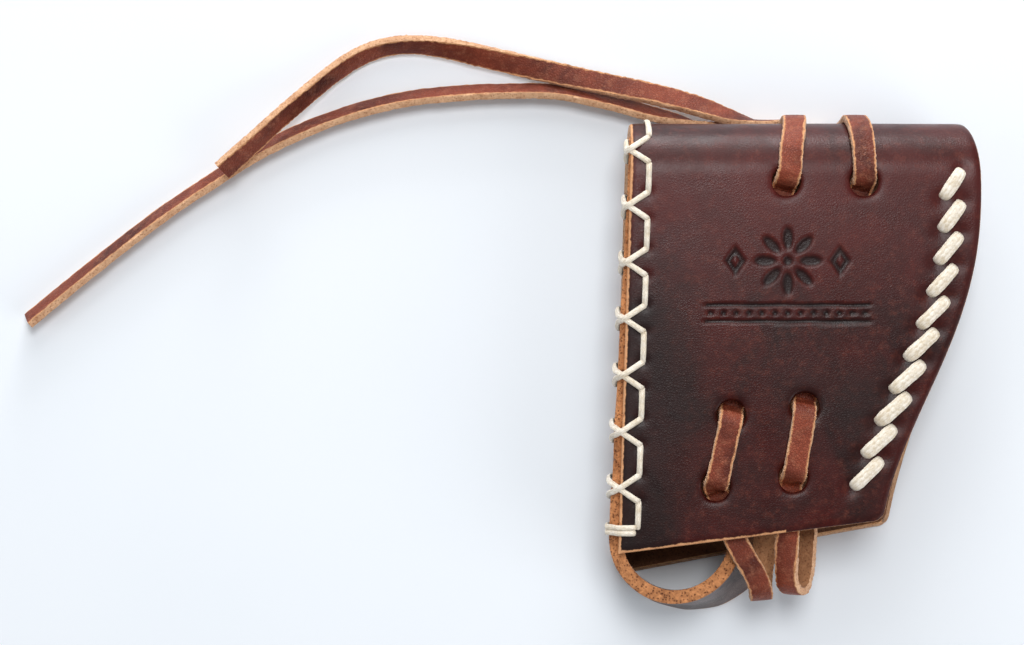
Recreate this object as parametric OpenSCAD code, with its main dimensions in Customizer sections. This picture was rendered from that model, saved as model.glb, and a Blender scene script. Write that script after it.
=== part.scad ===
// Leather pick holder. One hide is folded over at the top into a pocket. A side strip closes the
// left edge and ends in a loop, thick stitches follow the right edge, and two flat laces run
// through the front, over the fold and away as free tails.
// Millimetres: +X to the right, +Y towards the fold, +Z out of the front. The back lies on z = 0.

/* [Hide] */
// Width of the front at its widest
front_w = 81.5; // [68:0.5:98]
// Height of the front, from its lower left corner to the top of the fold
front_h = 101.5; // [84:0.5:122]
// Depth of the pocket between the front and the back
pocket_d = 20; // [16:0.5:24]
// Thickness of the hide
hide_t = 3; // [2.4:0.1:3.6]
// How far the right edge draws in towards its lower end
waist_in = 23.5; // [16:0.5:30]
// How much the back's lower left corner is cut off
back_corner = 4.5; // [3:0.5:7]
// How far the back's right edge draws in
back_waist_in = 18.5; // [14:0.5:25]
// How far the left edge leans outwards at its lower end
left_lean = 3.2; // [0:0.1:6]
// Rise of the lower edge from left to right
lower_rise = 7.5; // [0:0.5:12]
// How much further down the back reaches than the front, at the left corner
back_drop = 8; // [5:0.5:11]
// How much more the back's lower edge rises from left to right
back_slant = 4.5; // [0:0.5:7]

/* [Side strip] */
// Thickness of the side strip
strip_t = 3.2; // [2.4:0.1:4]
// Radius of the loop, to the middle of the strip
loop_r = 14.3; // [11:0.1:17]
// How much the strip narrows along the loop
loop_taper = 6; // [5:0.5:9]

/* [Laces] */
// Width of a lace
lace_w = 5.4; // [4.4:0.1:6.5]
// Thickness of a lace
lace_t = 1.8; // [1.4:0.1:2.2]
// Room between a lace's edge and its hole
hole_room = 1; // [0.8:0.1:1.5]
// Room between a lace's face and the hide
lace_room = 0.3; // [0.2:0.05:0.5]

/* [Stitching] */
// Width of the thin thread along the left edge
thin_w = 1.4; // [1:0.1:2]
// Distance from one crossing of the thin thread to the next
cross_step = 13.2; // [11:0.1:15]
// Distance of the thin thread's holes from the left edge
cross_inset = 4.3; // [3.4:0.1:5.5]
// Width of the thick thread along the right edge
thick_w = 3.4; // [2.4:0.1:4]
// Distance from one thick stitch to the next
stitch_step = 7.5; // [6.4:0.1:8.5]
// Distance of a thick stitch's outer end from the right edge
stitch_inset = 4.3; // [3.5:0.1:6]
// How far a thick stitch leans inwards from its outer end
stitch_reach = 4.9; // [3:0.1:6]

/* [Hidden] */

// Datums of the front's outline
left_x = -36;
low_y = -51;
right_x = left_x + front_w;
top_y = low_y + front_h;

// The fold's circle and the levels of the front
bend_r = pocket_d / 2 + hide_t;
fold_y = top_y - bend_r;
inner_z = hide_t + pocket_d;
face_z = inner_z + hide_t;
cut = 1;
reach = 20;

// Right edge: a rounded upper corner, then a slow draw to the waist
corner_in = 4;
corner_gap = 3.5;
corner_out = 2;
wide_y = fold_y - corner_gap;
waist_ease = 1.15;

// Side strip, from under the fold to the loop
strip_top_in = 1.5;
strip_low_out = 0.5;
loop_y = low_y + 3.7;
loop_end = 350;
strip_low_x = left_x - left_lean - strip_low_out;
loop_x = strip_low_x + loop_r;

// Lace holes: upper, middle and lower, for the left and the right lace
hole_d = lace_w + 2 * hole_room;
upper_y = fold_y - 1.7;
upper_left = [left_x + 36, upper_y];
upper_right = [left_x + 54.2, upper_y];
middle_left = [left_x + 23.2, low_y + 32.5];
middle_right = [left_x + 40.3, low_y + 34.3];
lower_left = [left_x + 19.5, low_y + 15.7];
lower_right = [left_x + 37.6, low_y + 17.7];

// Levels of a lace outside and inside the front, and its path round the fold
out_z = face_z + lace_room + lace_t / 2;
in_z = inner_z - lace_room - lace_t / 2;
wrap_r = bend_r + lace_room + lace_t / 2;

// Stitching
crossings = 6;
cross_top = fold_y - 7.2;
cross_half = 3.1;
thin_t = 0.9;
thread_room = 0.25;
thin_drop = 6;
stitches = 10;
stitch_top = fold_y + 1.4;
stitch_fall = 7.2;
thick_t = 1.6;
bar_swell = 0.2;
leg_d = 1.8;
under_t = 1;
under_w = 2.4;
under_z = inner_z - under_t - thread_room;

hide_c = "#3a1715";
strip_c = "#b5713f";
lace_c = "#5b2419";
thread_c = "#ece0c4";

function unit(v) = v / norm(v);

// ---- outline of the hide ----

function left_edge(y) = left_x - left_lean * (top_y - y) / front_h;

function corner_edge(y) =
    let (u = min(1, (y - wide_y) / (top_y + corner_out - wide_y)))
    right_x - corner_in * (1 - sqrt(1 - u * u));

// drop draws the edge out over the back's longer side
function waist_edge(y, inwards, drop) =
    right_x - inwards
        * (1 - cos(180 * pow((wide_y - y) / (wide_y - low_y + drop), waist_ease))) / 2;

function right_edge(y, inwards = waist_in, drop = 0) =
    y > wide_y ? corner_edge(y) : waist_edge(y, inwards, drop);

// Outline of the front, or of the back by its drop, slant, waist and left corner, with the left
// side moved outwards by out
module outline(drop = 0, slant = 0, inwards = waist_in, left_cut = 0, out = 0) {
    base = low_y - drop;
    corner = 2.5;
    turn_y = base + lower_rise + slant + corner;
    lower_steps = 14;
    upper_steps = 6;
    a = [left_edge(base), base];
    b = [right_edge(turn_y, inwards, drop) - corner, turn_y - corner];
    polygon(concat(
        [a + (left_cut - out) * unit(b - a), b],
        [for (i = [0 : lower_steps]) let (y = turn_y + (wide_y - turn_y) * i / lower_steps)
            [right_edge(y, inwards, drop), y]],
        [for (i = [1 : upper_steps]) let (y = wide_y + (top_y + cut - wide_y) * i / upper_steps)
            [right_edge(y, inwards, drop), y]],
        [[left_edge(top_y + cut) - out, top_y + cut]],
        left_cut > 0 ? [[left_edge(base + left_cut) - out, base + left_cut]] : []
    ));
}

// A shape drawn in Y and Z, carried along X over the whole width
module along_x() {
    translate([left_x - reach, 0, 0]) rotate([90, 0, 90])
        linear_extrude(front_w + 2 * reach) children();
}

module fold_profile() {
    tail = fold_y - low_y + 2 * back_drop;
    translate([fold_y - tail, 0]) square([tail, hide_t]);
    translate([fold_y - tail, inner_z]) square([tail, hide_t]);
    translate([fold_y, bend_r]) intersection() {
        difference() {
            circle(bend_r, $fn = 96);
            circle(pocket_d / 2, $fn = 96);
        }
        translate([0, -bend_r]) square([bend_r, 2 * bend_r]);
    }
}

// ---- stitching points ----

// Each thin crossing runs between two holes in the front, above (side = 1) and below (side = -1)
function cross_y(i) = cross_top - i * cross_step;
function cross_hole(i, side) =
    let (y = cross_y(i) + side * cross_half) [left_edge(y) + cross_inset, y];

function stitch_y(i) = stitch_top - i * stitch_step;
function stitch_outer(i) = [right_edge(stitch_y(i)) - stitch_inset, stitch_y(i)];
function stitch_inner(i) =
    let (y = stitch_y(i) - stitch_fall) [right_edge(y) - stitch_inset - stitch_reach, y];

// A straight bar from a to b, with round ends a little wider than the bar
module bar(a, b, w) {
    d = b - a;
    translate(a) rotate(atan2(d.y, d.x)) translate([0, -w / 2]) square([norm(d), w]);
    for (p = [a, b]) translate(p) circle((w + bar_swell) / 2, $fn = 24);
}

// ---- hide ----

module front_hole(p, d) {
    translate([p.x, p.y, inner_z - 2 * cut]) cylinder(h = hide_t + 3 * cut, d = d, $fn = 48);
}

module leather_wrap() {
    color(hide_c) difference() {
        intersection() {
            along_x() fold_profile();
            translate([0, 0, -cut]) linear_extrude(face_z + 2 * cut)
                outline(back_drop, back_slant, back_waist_in, back_corner);
        }
        translate([0, 0, inner_z - cut]) linear_extrude(hide_t + 2 * cut) difference() {
            translate([left_x - reach / 2, low_y - reach])
                square([front_w + reach, wide_y - low_y + reach]);
            outline(out = reach);
        }
        for (p = [upper_left, upper_right, middle_left, middle_right, lower_left, lower_right])
            front_hole(p, hole_d);
        for (i = [0 : crossings - 1], side = [-1, 1])
            front_hole(cross_hole(i, side), thin_w + 2 * thread_room);
        for (i = [0 : stitches - 1], p = [stitch_outer(i), stitch_inner(i)])
            front_hole(p, leg_d + 2 * thread_room);
    }
}

// ---- side strip ----

// Middle of the strip beside the pocket, at height y
function strip_x(y) =
    strip_low_x + (left_x + strip_top_in - strip_low_x) * (y - loop_y) / (top_y - loop_y);

module strip_path(w) {
    steps = 22;
    line = concat(
        [[strip_x(top_y), top_y]],
        [for (i = [0 : steps]) let (a = 180 + (loop_end - 180) * i / steps)
            [loop_x + loop_r * cos(a), loop_y + loop_r * sin(a)]]
    );
    function side(i) =
        let (a = line[max(i - 1, 0)], b = line[min(i + 1, len(line) - 1)], d = b - a)
        [-d.y, d.x] / norm(d);
    polygon(concat(
        [for (i = [0 : len(line) - 1]) line[i] + side(i) * w / 2],
        [for (i = [len(line) - 1 : -1 : 0]) line[i] - side(i) * w / 2]
    ));
}

module pocket_profile() {
    tail = fold_y - low_y + 2 * loop_r;
    translate([fold_y - tail, hide_t]) square([tail, pocket_d]);
    translate([fold_y, bend_r]) circle(pocket_d / 2 - thread_room, $fn = 96);
}

module side_strip() {
    taper_x = left_x + 3;
    run = loop_x + loop_r - taper_x;
    color(strip_c) difference() {
        intersection() {
            translate([0, 0, hide_t]) linear_extrude(pocket_d) strip_path(strip_t);
            along_x() pocket_profile();
        }
        translate([taper_x, loop_y - 2 * loop_r, inner_z]) rotate([0, atan2(loop_taper, run), 0])
            cube([2 * run, 3 * loop_r, pocket_d]);
        for (i = [0 : crossings - 1])
            translate([strip_x(cross_y(i)), cross_y(i), inner_z - thin_drop]) rotate([0, 90, 0])
                cylinder(h = 2 * strip_t, d = thin_w + 2 * thread_room, center = true, $fn = 24);
    }
}

// ---- threads ----

// Outer end of a crossing, past the strip's outer face
function cross_tip(i) =
    let (y = cross_y(i)) [strip_x(y) - strip_t / 2 - thread_room - thin_w / 2, y];

module edge_thread() {
    color(thread_c) {
        translate([0, 0, face_z]) linear_extrude(thin_t) {
            for (i = [0 : crossings - 1], side = [-1, 1])
                bar(cross_hole(i, side), cross_tip(i), thin_w);
            for (i = [0 : crossings - 2])
                bar(cross_hole(i, -1), cross_hole(i + 1, 1), thin_w);
        }
        for (i = [0 : crossings - 1]) {
            tip = cross_tip(i);
            translate([tip.x, tip.y, inner_z - thin_drop])
                cylinder(h = thin_drop + hide_t + thin_t / 2, d = thin_w, $fn = 24);
            translate([tip.x, tip.y, inner_z - thin_drop]) rotate([0, 90, 0])
                cylinder(h = strip_t + thread_room + 2 * thin_w, d = thin_w, $fn = 24);
            for (side = [-1, 1])
                translate([cross_hole(i, side).x, cross_hole(i, side).y, inner_z - cut])
                    cylinder(h = hide_t + cut + thin_t / 2, d = thin_w, $fn = 24);
        }
    }
}

module saddle_thread() {
    color(thread_c) {
        for (i = [0 : stitches - 1]) {
            translate([0, 0, face_z]) linear_extrude(thick_t)
                bar(stitch_outer(i), stitch_inner(i), thick_w);
            for (p = [stitch_outer(i), stitch_inner(i)])
                translate([p.x, p.y, under_z + under_t / 2])
                    cylinder(h = face_z + thick_t / 2 - under_z - under_t / 2, d = leg_d, $fn = 24);
        }
        translate([0, 0, under_z]) linear_extrude(under_t)
            for (i = [0 : stitches - 2]) bar(stitch_inner(i), stitch_outer(i + 1), under_w);
    }
}

// ---- laces ----

// A row of a strap is six numbers: a point and the direction of its width. Between four rows at t
function between(a, b, c, d, t) =
    (2 * b + (c - a) * t + (2 * a - 5 * b + 4 * c - d) * t * t
        + (3 * b - a - 3 * c + d) * t * t * t) / 2;

function smooth(rows, steps) = concat(
    [for (i = [0 : len(rows) - 2], k = [0 : steps - 1])
        between(rows[max(i - 1, 0)], rows[i], rows[i + 1], rows[min(i + 2, len(rows) - 1)], k / steps)],
    [rows[len(rows) - 1]]
);

function place(row) = [row[0], row[1], row[2]];
function across(row) = [row[3], row[4], row[5]];

// A flat strap with bevelled edges, through all its rows
module strap(rows, w, t) {
    n = len(rows);
    c = t / 4;
    section = [[w / 2 - c, -t / 2], [w / 2, c - t / 2], [w / 2, t / 2 - c], [w / 2 - c, t / 2],
               [c - w / 2, t / 2], [-w / 2, t / 2 - c], [-w / 2, c - t / 2], [c - w / 2, -t / 2]];
    sides = len(section);
    points = [for (i = [0 : n - 1])
        let (along = unit(place(rows[min(i + 1, n - 1)]) - place(rows[max(i - 1, 0)])),
             face = unit(cross(across(rows[i]), along)),
             wide = cross(along, face))
        for (s = section) place(rows[i]) + wide * s.x + face * s.y];
    faces = concat(
        [[for (k = [sides - 1 : -1 : 0]) k]],
        [for (i = [0 : n - 2], k = [0 : sides - 1])
            [i * sides + k, i * sides + (k + 1) % sides, (i + 1) * sides + (k + 1) % sides]],
        [for (i = [0 : n - 2], k = [0 : sides - 1])
            [i * sides + k, (i + 1) * sides + (k + 1) % sides, (i + 1) * sides + k]],
        [[for (k = [0 : sides - 1]) (n - 1) * sides + k]]
    );
    polyhedron(points, faces);
}

// A row at a point in the plane of the front, with heading e and level z
function flat_row(p, z, e) = [p.x, p.y, z, e.y, -e.x, 0];

// Rows that take a lace through the hole at p, from level z0 with heading a to level z1 with heading b
function pierce(p, a, b, z0, z1) =
    let (dz = sign(z1 - z0), near = 0.3, mid = 1.4, far = 3.4, ease = 0.3, steep = 1.7)
    [flat_row(p - far * a, z0, a), flat_row(p - mid * a, z0 + dz * ease, a),
     flat_row(p - near * a, z0 + dz * steep, a), flat_row(p + near * b, z1 - dz * steep, b),
     flat_row(p + mid * b, z1 - dz * ease, b), flat_row(p + far * b, z1, b)];

// A row on the fold, angle a from the front towards the back
function fold_row(x, a) = [x, fold_y + wrap_r * sin(a), bend_r + wrap_r * cos(a), 1, 0, 0];

// Through the lower, middle and upper holes of one side, from point start inside the front
function threaded(start, lower, middle, upper, over) =
    let (a = unit(lower - start), b = unit(middle - lower), c = unit(upper - middle), d = unit(over))
    concat(pierce(lower, a, b, in_z, out_z), pierce(middle, b, c, out_z, in_z),
           [flat_row((middle + upper) / 2, in_z, c)], pierce(upper, c, d, in_z, out_z));

// Inside the lower edge, where each lace turns back from its slack bend
bend_left = [left_x + 25, low_y + 2];
bend_right = [left_x + 36.9, low_y + 5.5];
over_left = [left_x + 39.3, top_y];
over_right = [left_x + 53.6, top_y];
bend_low = low_y - 11;
bend_z = in_z - 9.8;

module lace_left() {
    rows = concat(
        [[left_x + 32.5, low_y + 5.5, bend_z, 1, 0, 0],
         [left_x + 32.2, low_y - 2, bend_z, 1, 0, 0],
         [left_x + 31.7, bend_low + 4, bend_z + 0.2, 1, 0, 0],
         [left_x + 31.3, bend_low + 0.6, bend_z + 2.4, 1, 0.1, 0],
         [left_x + 31.1, bend_low, bend_z + 5.2, 1, 0.1, 0],
         [left_x + 30.6, bend_low + 2, in_z - 1.2, 1, 0.3, 0],
         [left_x + 29, bend_low + 6, in_z - 0.1, 0.93, 0.36, 0],
         [bend_left.x, bend_left.y, in_z, 0.93, 0.36, 0]],
        threaded(bend_left, lower_left, middle_left, upper_left, over_left - upper_left),
        [fold_row(over_left.x - 2.1, 26), fold_row(over_left.x - 1.2, 46),
         fold_row(over_left.x - 0.5, 67), fold_row(over_left.x, 88),
         [over_left.x - 0.3, top_y + 0.6, bend_r - 4.4, 0.97, 0, -0.25],
         [over_left.x - 2.1, top_y + 0.8, bend_r - 6.7, 0.7, 0.1, -0.7],
         [over_left.x - 5.1, top_y + 0.7, bend_r - 7.5, 0.2, 0.15, -0.97],
         [over_left.x - 8.3, top_y + 0.8, bend_r - 7.6, 0, 0.17, -0.98]]
    );
    color(lace_c) strap(smooth(rows, 3), lace_w, lace_t);
}

module lace_right() {
    tilt = [0.82, 0, 0.57];
    rows = concat(
        [[left_x + 42.3, low_y + 6.5, bend_z + 2.4, tilt.x, 0, tilt.z],
         [left_x + 41.8, low_y - 2, bend_z + 2.4, tilt.x, 0, tilt.z],
         [left_x + 41.3, bend_low + 5.4, bend_z + 2.4, tilt.x, 0, tilt.z],
         [left_x + 40.6, bend_low + 2.6, bend_z + 3.4, tilt.x, 0, tilt.z],
         [left_x + 39, bend_low + 1.4, bend_z + 5.7, tilt.x, 0, tilt.z],
         [left_x + 37.4, bend_low + 2.6, bend_z + 8, tilt.x, 0, tilt.z],
         [left_x + 36.7, bend_low + 5.4, bend_z + 9, tilt.x, 0, tilt.z],
         [left_x + 36.7, low_y + 1.5, in_z - 0.5, 0.97, 0, 0.2],
         [bend_right.x, bend_right.y, in_z, 1, 0, 0]],
        threaded(bend_right, lower_right, middle_right, upper_right, over_right - upper_right),
        [fold_row(over_right.x + 0.4, 26), fold_row(over_right.x + 0.3, 46),
         fold_row(over_right.x + 0.1, 67), fold_row(over_right.x, 90),
         fold_row(over_right.x - 0.2, 112),
         [over_right.x - 1.2, fold_y + 11.5, 3.3, 0.85, -0.4, 0],
         [over_right.x - 4.6, fold_y + 11.3, 1.5, 0.4, -0.9, -0.05],
         [over_right.x - 9, fold_y + 11.3, 1.25, 0, -1, 0]]
    );
    color(lace_c) strap(smooth(rows, 3), lace_w, lace_t);
}

// ---- free tails ----

// Each row is x, y, z and the roll of the strap, in degrees from lying flat. Chosen by hand.
upper_route = [[-5.3, 51.3, 5.4, -80], [-11, 52.8, 5.3, -55], [-20, 56, 4.6, -32],
    [-30, 58.7, 4, -25], [-39, 60.6, 3.8, -20], [-49, 62.8, 3, -8], [-62, 65.9, 2, 15],
    [-75, 68.9, 2.5, 38], [-84, 70.5, 2.9, 52], [-91, 70.7, 2.9, 57], [-97, 69.6, 2.9, 57],
    [-103, 66.9, 2.9, 57], [-109, 62.6, 3.4, 57], [-115, 57.3, 5.2, 57], [-121, 51.6, 7.8, 54],
    [-127, 45.9, 8.6, 50], [-134, 39.6, 8.6, 46]];
lower_route = [[8.2, 48.8, 1.25, -180], [2, 48.8, 1.25, -180], [-4, 48.8, 1.3, -178],
    [-10, 49.1, 1.9, -160], [-16, 50.2, 3, -110], [-22, 52, 3, -75], [-30, 53.9, 2.9, -57],
    [-39, 56.4, 2.9, -57], [-52, 59.1, 2.9, -57], [-62, 59.5, 2.9, -57], [-76, 59, 2.9, -57],
    [-91, 57.3, 2.9, -57], [-107, 53, 2.9, -57], [-123, 46.1, 2.9, -57], [-137, 37.6, 2.9, -57],
    [-151, 28.1, 2.9, -57], [-168, 14.9, 2.9, -57], [-182, 3.4, 2.9, -57]];

// Width direction of a tail: across its heading on the table, rolled up about it
function rolled(route) = [for (i = [0 : len(route) - 1])
    let (a = route[max(i - 1, 0)], b = route[min(i + 1, len(route) - 1)],
         e = unit([b.x - a.x, b.y - a.y]), r = route[i][3])
    [route[i].x, route[i].y, route[i].z, e.y * cos(r), -e.x * cos(r), sin(r)]];

module lace_tail_upper() {
    color(lace_c) strap(smooth(rolled(upper_route), 2), lace_w, lace_t);
}

module lace_tail_lower() {
    color(lace_c) strap(smooth(rolled(lower_route), 2), lace_w, lace_t);
}

leather_wrap();
side_strip();
edge_thread();
saddle_thread();
lace_left();
lace_right();
lace_tail_upper();
lace_tail_lower();
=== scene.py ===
"""Leather pick holder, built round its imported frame. Lengths in the code are in millimetres until
a mesh is made, and in metres from there on."""
import math

import bpy
import numpy as np
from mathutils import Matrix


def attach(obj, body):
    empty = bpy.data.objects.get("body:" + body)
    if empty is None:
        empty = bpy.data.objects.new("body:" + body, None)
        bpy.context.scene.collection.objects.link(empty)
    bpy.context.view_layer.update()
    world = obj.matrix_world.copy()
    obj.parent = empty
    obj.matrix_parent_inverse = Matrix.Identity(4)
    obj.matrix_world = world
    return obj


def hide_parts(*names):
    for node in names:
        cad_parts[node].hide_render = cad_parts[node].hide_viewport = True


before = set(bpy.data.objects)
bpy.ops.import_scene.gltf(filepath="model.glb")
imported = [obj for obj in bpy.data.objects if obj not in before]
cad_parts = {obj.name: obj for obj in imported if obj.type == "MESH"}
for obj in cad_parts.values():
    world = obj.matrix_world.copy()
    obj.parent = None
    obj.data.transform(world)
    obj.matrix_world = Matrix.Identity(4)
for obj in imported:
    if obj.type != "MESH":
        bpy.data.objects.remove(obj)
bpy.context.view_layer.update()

MM = 0.001

# ---- sizes, as in the part's source unless a comment says otherwise ----

LEFT_X, RIGHT_X, LOW_Y, TOP_Y = -36.0, 45.5, -51.0, 50.5
FRONT_H = TOP_Y - LOW_Y
HIDE_T, BEND_R = 3.0, 13.0
FOLD_Y, INNER_Z, FACE_Z = 37.5, 23.0, 26.0
LEFT_LEAN, WAIST_IN, LOWER_RISE, BACK_DROP, BACK_SLANT, BACK_WAIST_IN = 3.2, 23.5, 7.5, 8.0, 4.5, 18.5
BACK_CORNER = 4.5
WIDE_Y, WAIST_EASE, CORNER_IN, CORNER_OUT = 34.0, 1.15, 4.0, 2.0
STRIP_T, LOOP_R, LOOP_END, LOOP_TAPER = 3.2, 14.3, 350.0, 6.0
STRIP_LOW_X, LOOP_Y = -39.7, -47.3
LOOP_X = STRIP_LOW_X + LOOP_R
LACE_W, LACE_T = 5.4, 1.8
OUT_Z, IN_Z, WRAP_R = 27.2, 21.8, 14.2
# Radius of the lace holes as seen. The part's source cuts them with a radius of 3.7.
HOLE_R = 3.35
UPPER_LEFT, UPPER_RIGHT = (0.0, 35.8), (18.2, 35.8)
MIDDLE_LEFT, MIDDLE_RIGHT = (-12.8, -18.5), (4.3, -16.7)
LOWER_LEFT, LOWER_RIGHT = (-16.5, -35.3), (1.6, -33.3)
THIN_W, CROSS_STEP, CROSS_TOP, CROSS_HALF, CROSS_INSET = 1.4, 13.2, 30.3, 3.1, 4.3
THICK_W, STITCH_STEP, STITCH_TOP, STITCH_FALL = 3.4, 7.5, 38.9, 7.2
STITCH_INSET, STITCH_REACH = 4.3, 4.9
UNDER_Z = 21.75

# The tails' rows: x, y, z and the roll of the strap, in degrees from lying flat
UPPER_ROUTE = [[-5.3, 51.3, 5.4, -80], [-11, 52.8, 5.3, -55], [-20, 56, 4.6, -32],
    [-30, 58.7, 4, -25], [-39, 60.6, 3.8, -20], [-49, 62.8, 3, -8], [-62, 65.9, 2, 15],
    [-75, 68.9, 2.5, 38], [-84, 70.5, 2.9, 52], [-91, 70.7, 2.9, 57], [-97, 69.6, 2.9, 57],
    [-103, 66.9, 2.9, 57], [-109, 62.6, 3.4, 57], [-115, 57.3, 5.2, 57], [-121, 51.6, 7.8, 54],
    [-127, 45.9, 8.6, 50], [-134, 39.6, 8.6, 46]]
LOWER_ROUTE = [[8.2, 48.8, 1.25, -180], [2, 48.8, 1.25, -180], [-4, 48.8, 1.3, -178],
    [-10, 49.1, 1.9, -160], [-16, 50.2, 3, -110], [-22, 52, 3, -75], [-30, 53.9, 2.9, -57],
    [-39, 56.4, 2.9, -57], [-52, 59.1, 2.9, -57], [-62, 59.5, 2.9, -57], [-76, 59, 2.9, -57],
    [-91, 57.3, 2.9, -57], [-107, 53, 2.9, -57], [-123, 46.1, 2.9, -57], [-137, 37.6, 2.9, -57],
    [-151, 28.1, 2.9, -57], [-168, 14.9, 2.9, -57], [-182, 3.4, 2.9, -57]]

# ---- lines and meshes ----


def unit(v):
    """Each row divided by its own length."""
    return v / np.maximum(np.linalg.norm(v, axis=-1, keepdims=True), 1e-12)


def through(rows, steps):
    """A smooth line through the rows: between two of them it is the cubic that leaves and meets each
    with half the step from the row before it to the row after it."""
    r = np.asarray(rows, float)
    n = np.arange(len(r) - 1)
    a, b, c, d = r[np.maximum(n - 1, 0)], r[n], r[n + 1], r[np.minimum(n + 2, len(r) - 1)]
    t = (np.arange(steps) / steps)[None, :, None]
    a, b, c, d = (x[:, None] for x in (a, b, c, d))
    line = (2 * b + (c - a) * t + (2 * a - 5 * b + 4 * c - d) * t ** 2
            + (3 * b - a - 3 * c + d) * t ** 3) / 2
    return np.vstack([line.reshape(-1, r.shape[1]), r[-1:]])


def lengths(line):
    """Distance along the line at each of its points."""
    step = np.linalg.norm(np.diff(line[:, :3], axis=0), axis=1)
    return np.concatenate([[0], np.cumsum(step)])


def drift(along, period, seed, lines=1):
    """Slow seeded wander between -1 and 1: the mean of four sines of about that period with random
    phases, one wander for each line."""
    r = np.random.default_rng(seed)
    rate = 2 * math.pi / period * r.uniform(0.6, 1.7, (4, 1, lines))
    phase = r.uniform(0, 2 * math.pi, (4, 1, lines))
    return np.sin(np.asarray(along)[None, :, None] * rate + phase).mean(0)


def grid_faces(rows, columns, closed):
    """Quads between neighbours of a grid of points, numbered row by row. With closed, the last
    column meets the first."""
    i, k = np.meshgrid(np.arange(rows - 1), np.arange(columns if closed else columns - 1), indexing="ij")
    i, k = i.ravel(), k.ravel()
    after = (k + 1) % columns
    return np.stack([i * columns + k, (i + 1) * columns + k,
                     (i + 1) * columns + after, i * columns + after], 1)


def piece(name, points, faces, kinds, finishes, node, values=None, sharp=40):
    """An object at the origin from points in millimetres. kinds gives each face the number of its
    finish, and values holds named numbers, one for each point."""
    mesh = bpy.data.meshes.new(name)
    mesh.from_pydata((np.asarray(points, float) * MM).tolist(), [], faces)
    for finish in finishes:
        mesh.materials.append(finish)
    mesh.polygons.foreach_set("material_index", np.asarray(kinds, np.int32))
    mesh.polygons.foreach_set("use_smooth", np.ones(len(mesh.polygons), bool))
    for label, numbers in (values or {}).items():
        held = mesh.attributes.new(label, "FLOAT", "POINT")
        held.data.foreach_set("value", np.asarray(numbers, np.float32).ravel())
    mesh.update()
    mesh.set_sharp_from_angle(angle=math.radians(sharp))
    made = bpy.data.objects.new(name, mesh)
    bpy.context.collection.objects.link(made)
    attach(made, "root")
    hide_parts(node)
    return made


def swept(rows, shape):
    """Points of a section carried along rows of six numbers, a point and the direction of the
    section's width. shape holds a pair of offsets, across and out of the face, for each row and
    each point of the section. Ends are closed with one face each."""
    rows = np.asarray(rows, float)
    spot, across = rows[:, :3], rows[:, 3:]
    along = unit(np.gradient(spot, axis=0))
    face = unit(np.cross(across, along))
    side = np.cross(along, face)
    points = spot[:, None] + side[:, None] * shape[..., :1] + face[:, None] * shape[..., 1:]
    n, m = shape.shape[:2]
    quads = grid_faces(n, m, True).tolist()
    caps = [list(range(m)), [(n - 1) * m + k for k in range(m - 1, -1, -1)]]
    return points.reshape(-1, 3), quads + caps


def joined(parts):
    """Several meshes as one: each part is (points, faces, kinds, values)."""
    base, points, faces, kinds, values = 0, [], [], [], {}
    for p, f, k, v in parts:
        points.append(p)
        faces += [[c + base for c in face] for face in f]
        kinds += list(k)
        for label, numbers in v.items():
            values.setdefault(label, []).append(np.ravel(numbers))
        base += len(p)
    return np.vstack(points), faces, kinds, {k: np.concatenate(v) for k, v in values.items()}


# ---- camera ----

lens = bpy.data.cameras.new("camera")
lens.lens, lens.sensor_width = 74.5, 36.0
lens.clip_start, lens.clip_end = 0.01, 10.0
camera = bpy.data.objects.new("camera", lens)
camera.location = (-0.064, 0.003, 0.520)
bpy.context.collection.objects.link(camera)
bpy.context.scene.camera = camera

# ---- the tails' lines, which the tails and the laces' ends follow ----


def rolled(route):
    """Rows of a strap along a route: its width lies across the heading on the table and is turned
    up about it by the roll."""
    r = np.asarray(route, float)
    before, after = np.vstack([r[:1], r[:-1]]), np.vstack([r[1:], r[-1:]])
    e = unit((after - before)[:, :2])
    roll = np.radians(r[:, 3])
    width = np.stack([e[:, 1] * np.cos(roll), -e[:, 0] * np.cos(roll), np.sin(roll)], 1)
    return np.hstack([r[:, :3], width])


upper_rows = through(rolled(UPPER_ROUTE), 14)
lower_rows = through(rolled(LOWER_ROUTE), 14)

# ---- finishes ----


def tone(text):
    """Scene-linear colour from the six hex digits of a screen colour."""
    c = np.array([int(text[i:i + 2], 16) for i in (0, 2, 4)]) / 255
    c = np.where(c <= 0.04045, c / 12.92, ((c + 0.055) / 1.055) ** 2.4)
    return (*c.tolist(), 1.0)


def group(name, inputs, outputs):
    """An empty node group: inputs are (name, kind, value) and outputs are (name, kind)."""
    made = bpy.data.node_groups.new(name, "ShaderNodeTree")
    for label, kind, value in inputs:
        socket = made.interface.new_socket(label, in_out="INPUT", socket_type="NodeSocket" + kind)
        if value is not None:
            socket.default_value = value
    for label, kind in outputs:
        made.interface.new_socket(label, in_out="OUTPUT", socket_type="NodeSocket" + kind)
    return made, made.nodes.new("NodeGroupInput"), made.nodes.new("NodeGroupOutput")


def put(value, socket, tree):
    """A link from an output, or a plain value, into a socket."""
    if isinstance(value, bpy.types.NodeSocket):
        tree.links.new(value, socket)
    else:
        socket.default_value = value


def sums(tree, how, a, b=0.0, clamp=False):
    """Output of a Math node."""
    node = tree.nodes.new("ShaderNodeMath")
    node.operation, node.use_clamp = how, clamp
    put(a, node.inputs[0], tree)
    put(b, node.inputs[1], tree)
    return node.outputs[0]


def spread(tree, value, low, high, to_low=0.0, to_high=1.0):
    """Output of a Map Range node from low..high onto to_low..to_high, held at the ends."""
    node = tree.nodes.new("ShaderNodeMapRange")
    for socket, v in zip(node.inputs, (value, low, high, to_low, to_high)):
        put(v, socket, tree)
    return node.outputs[0]


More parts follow.
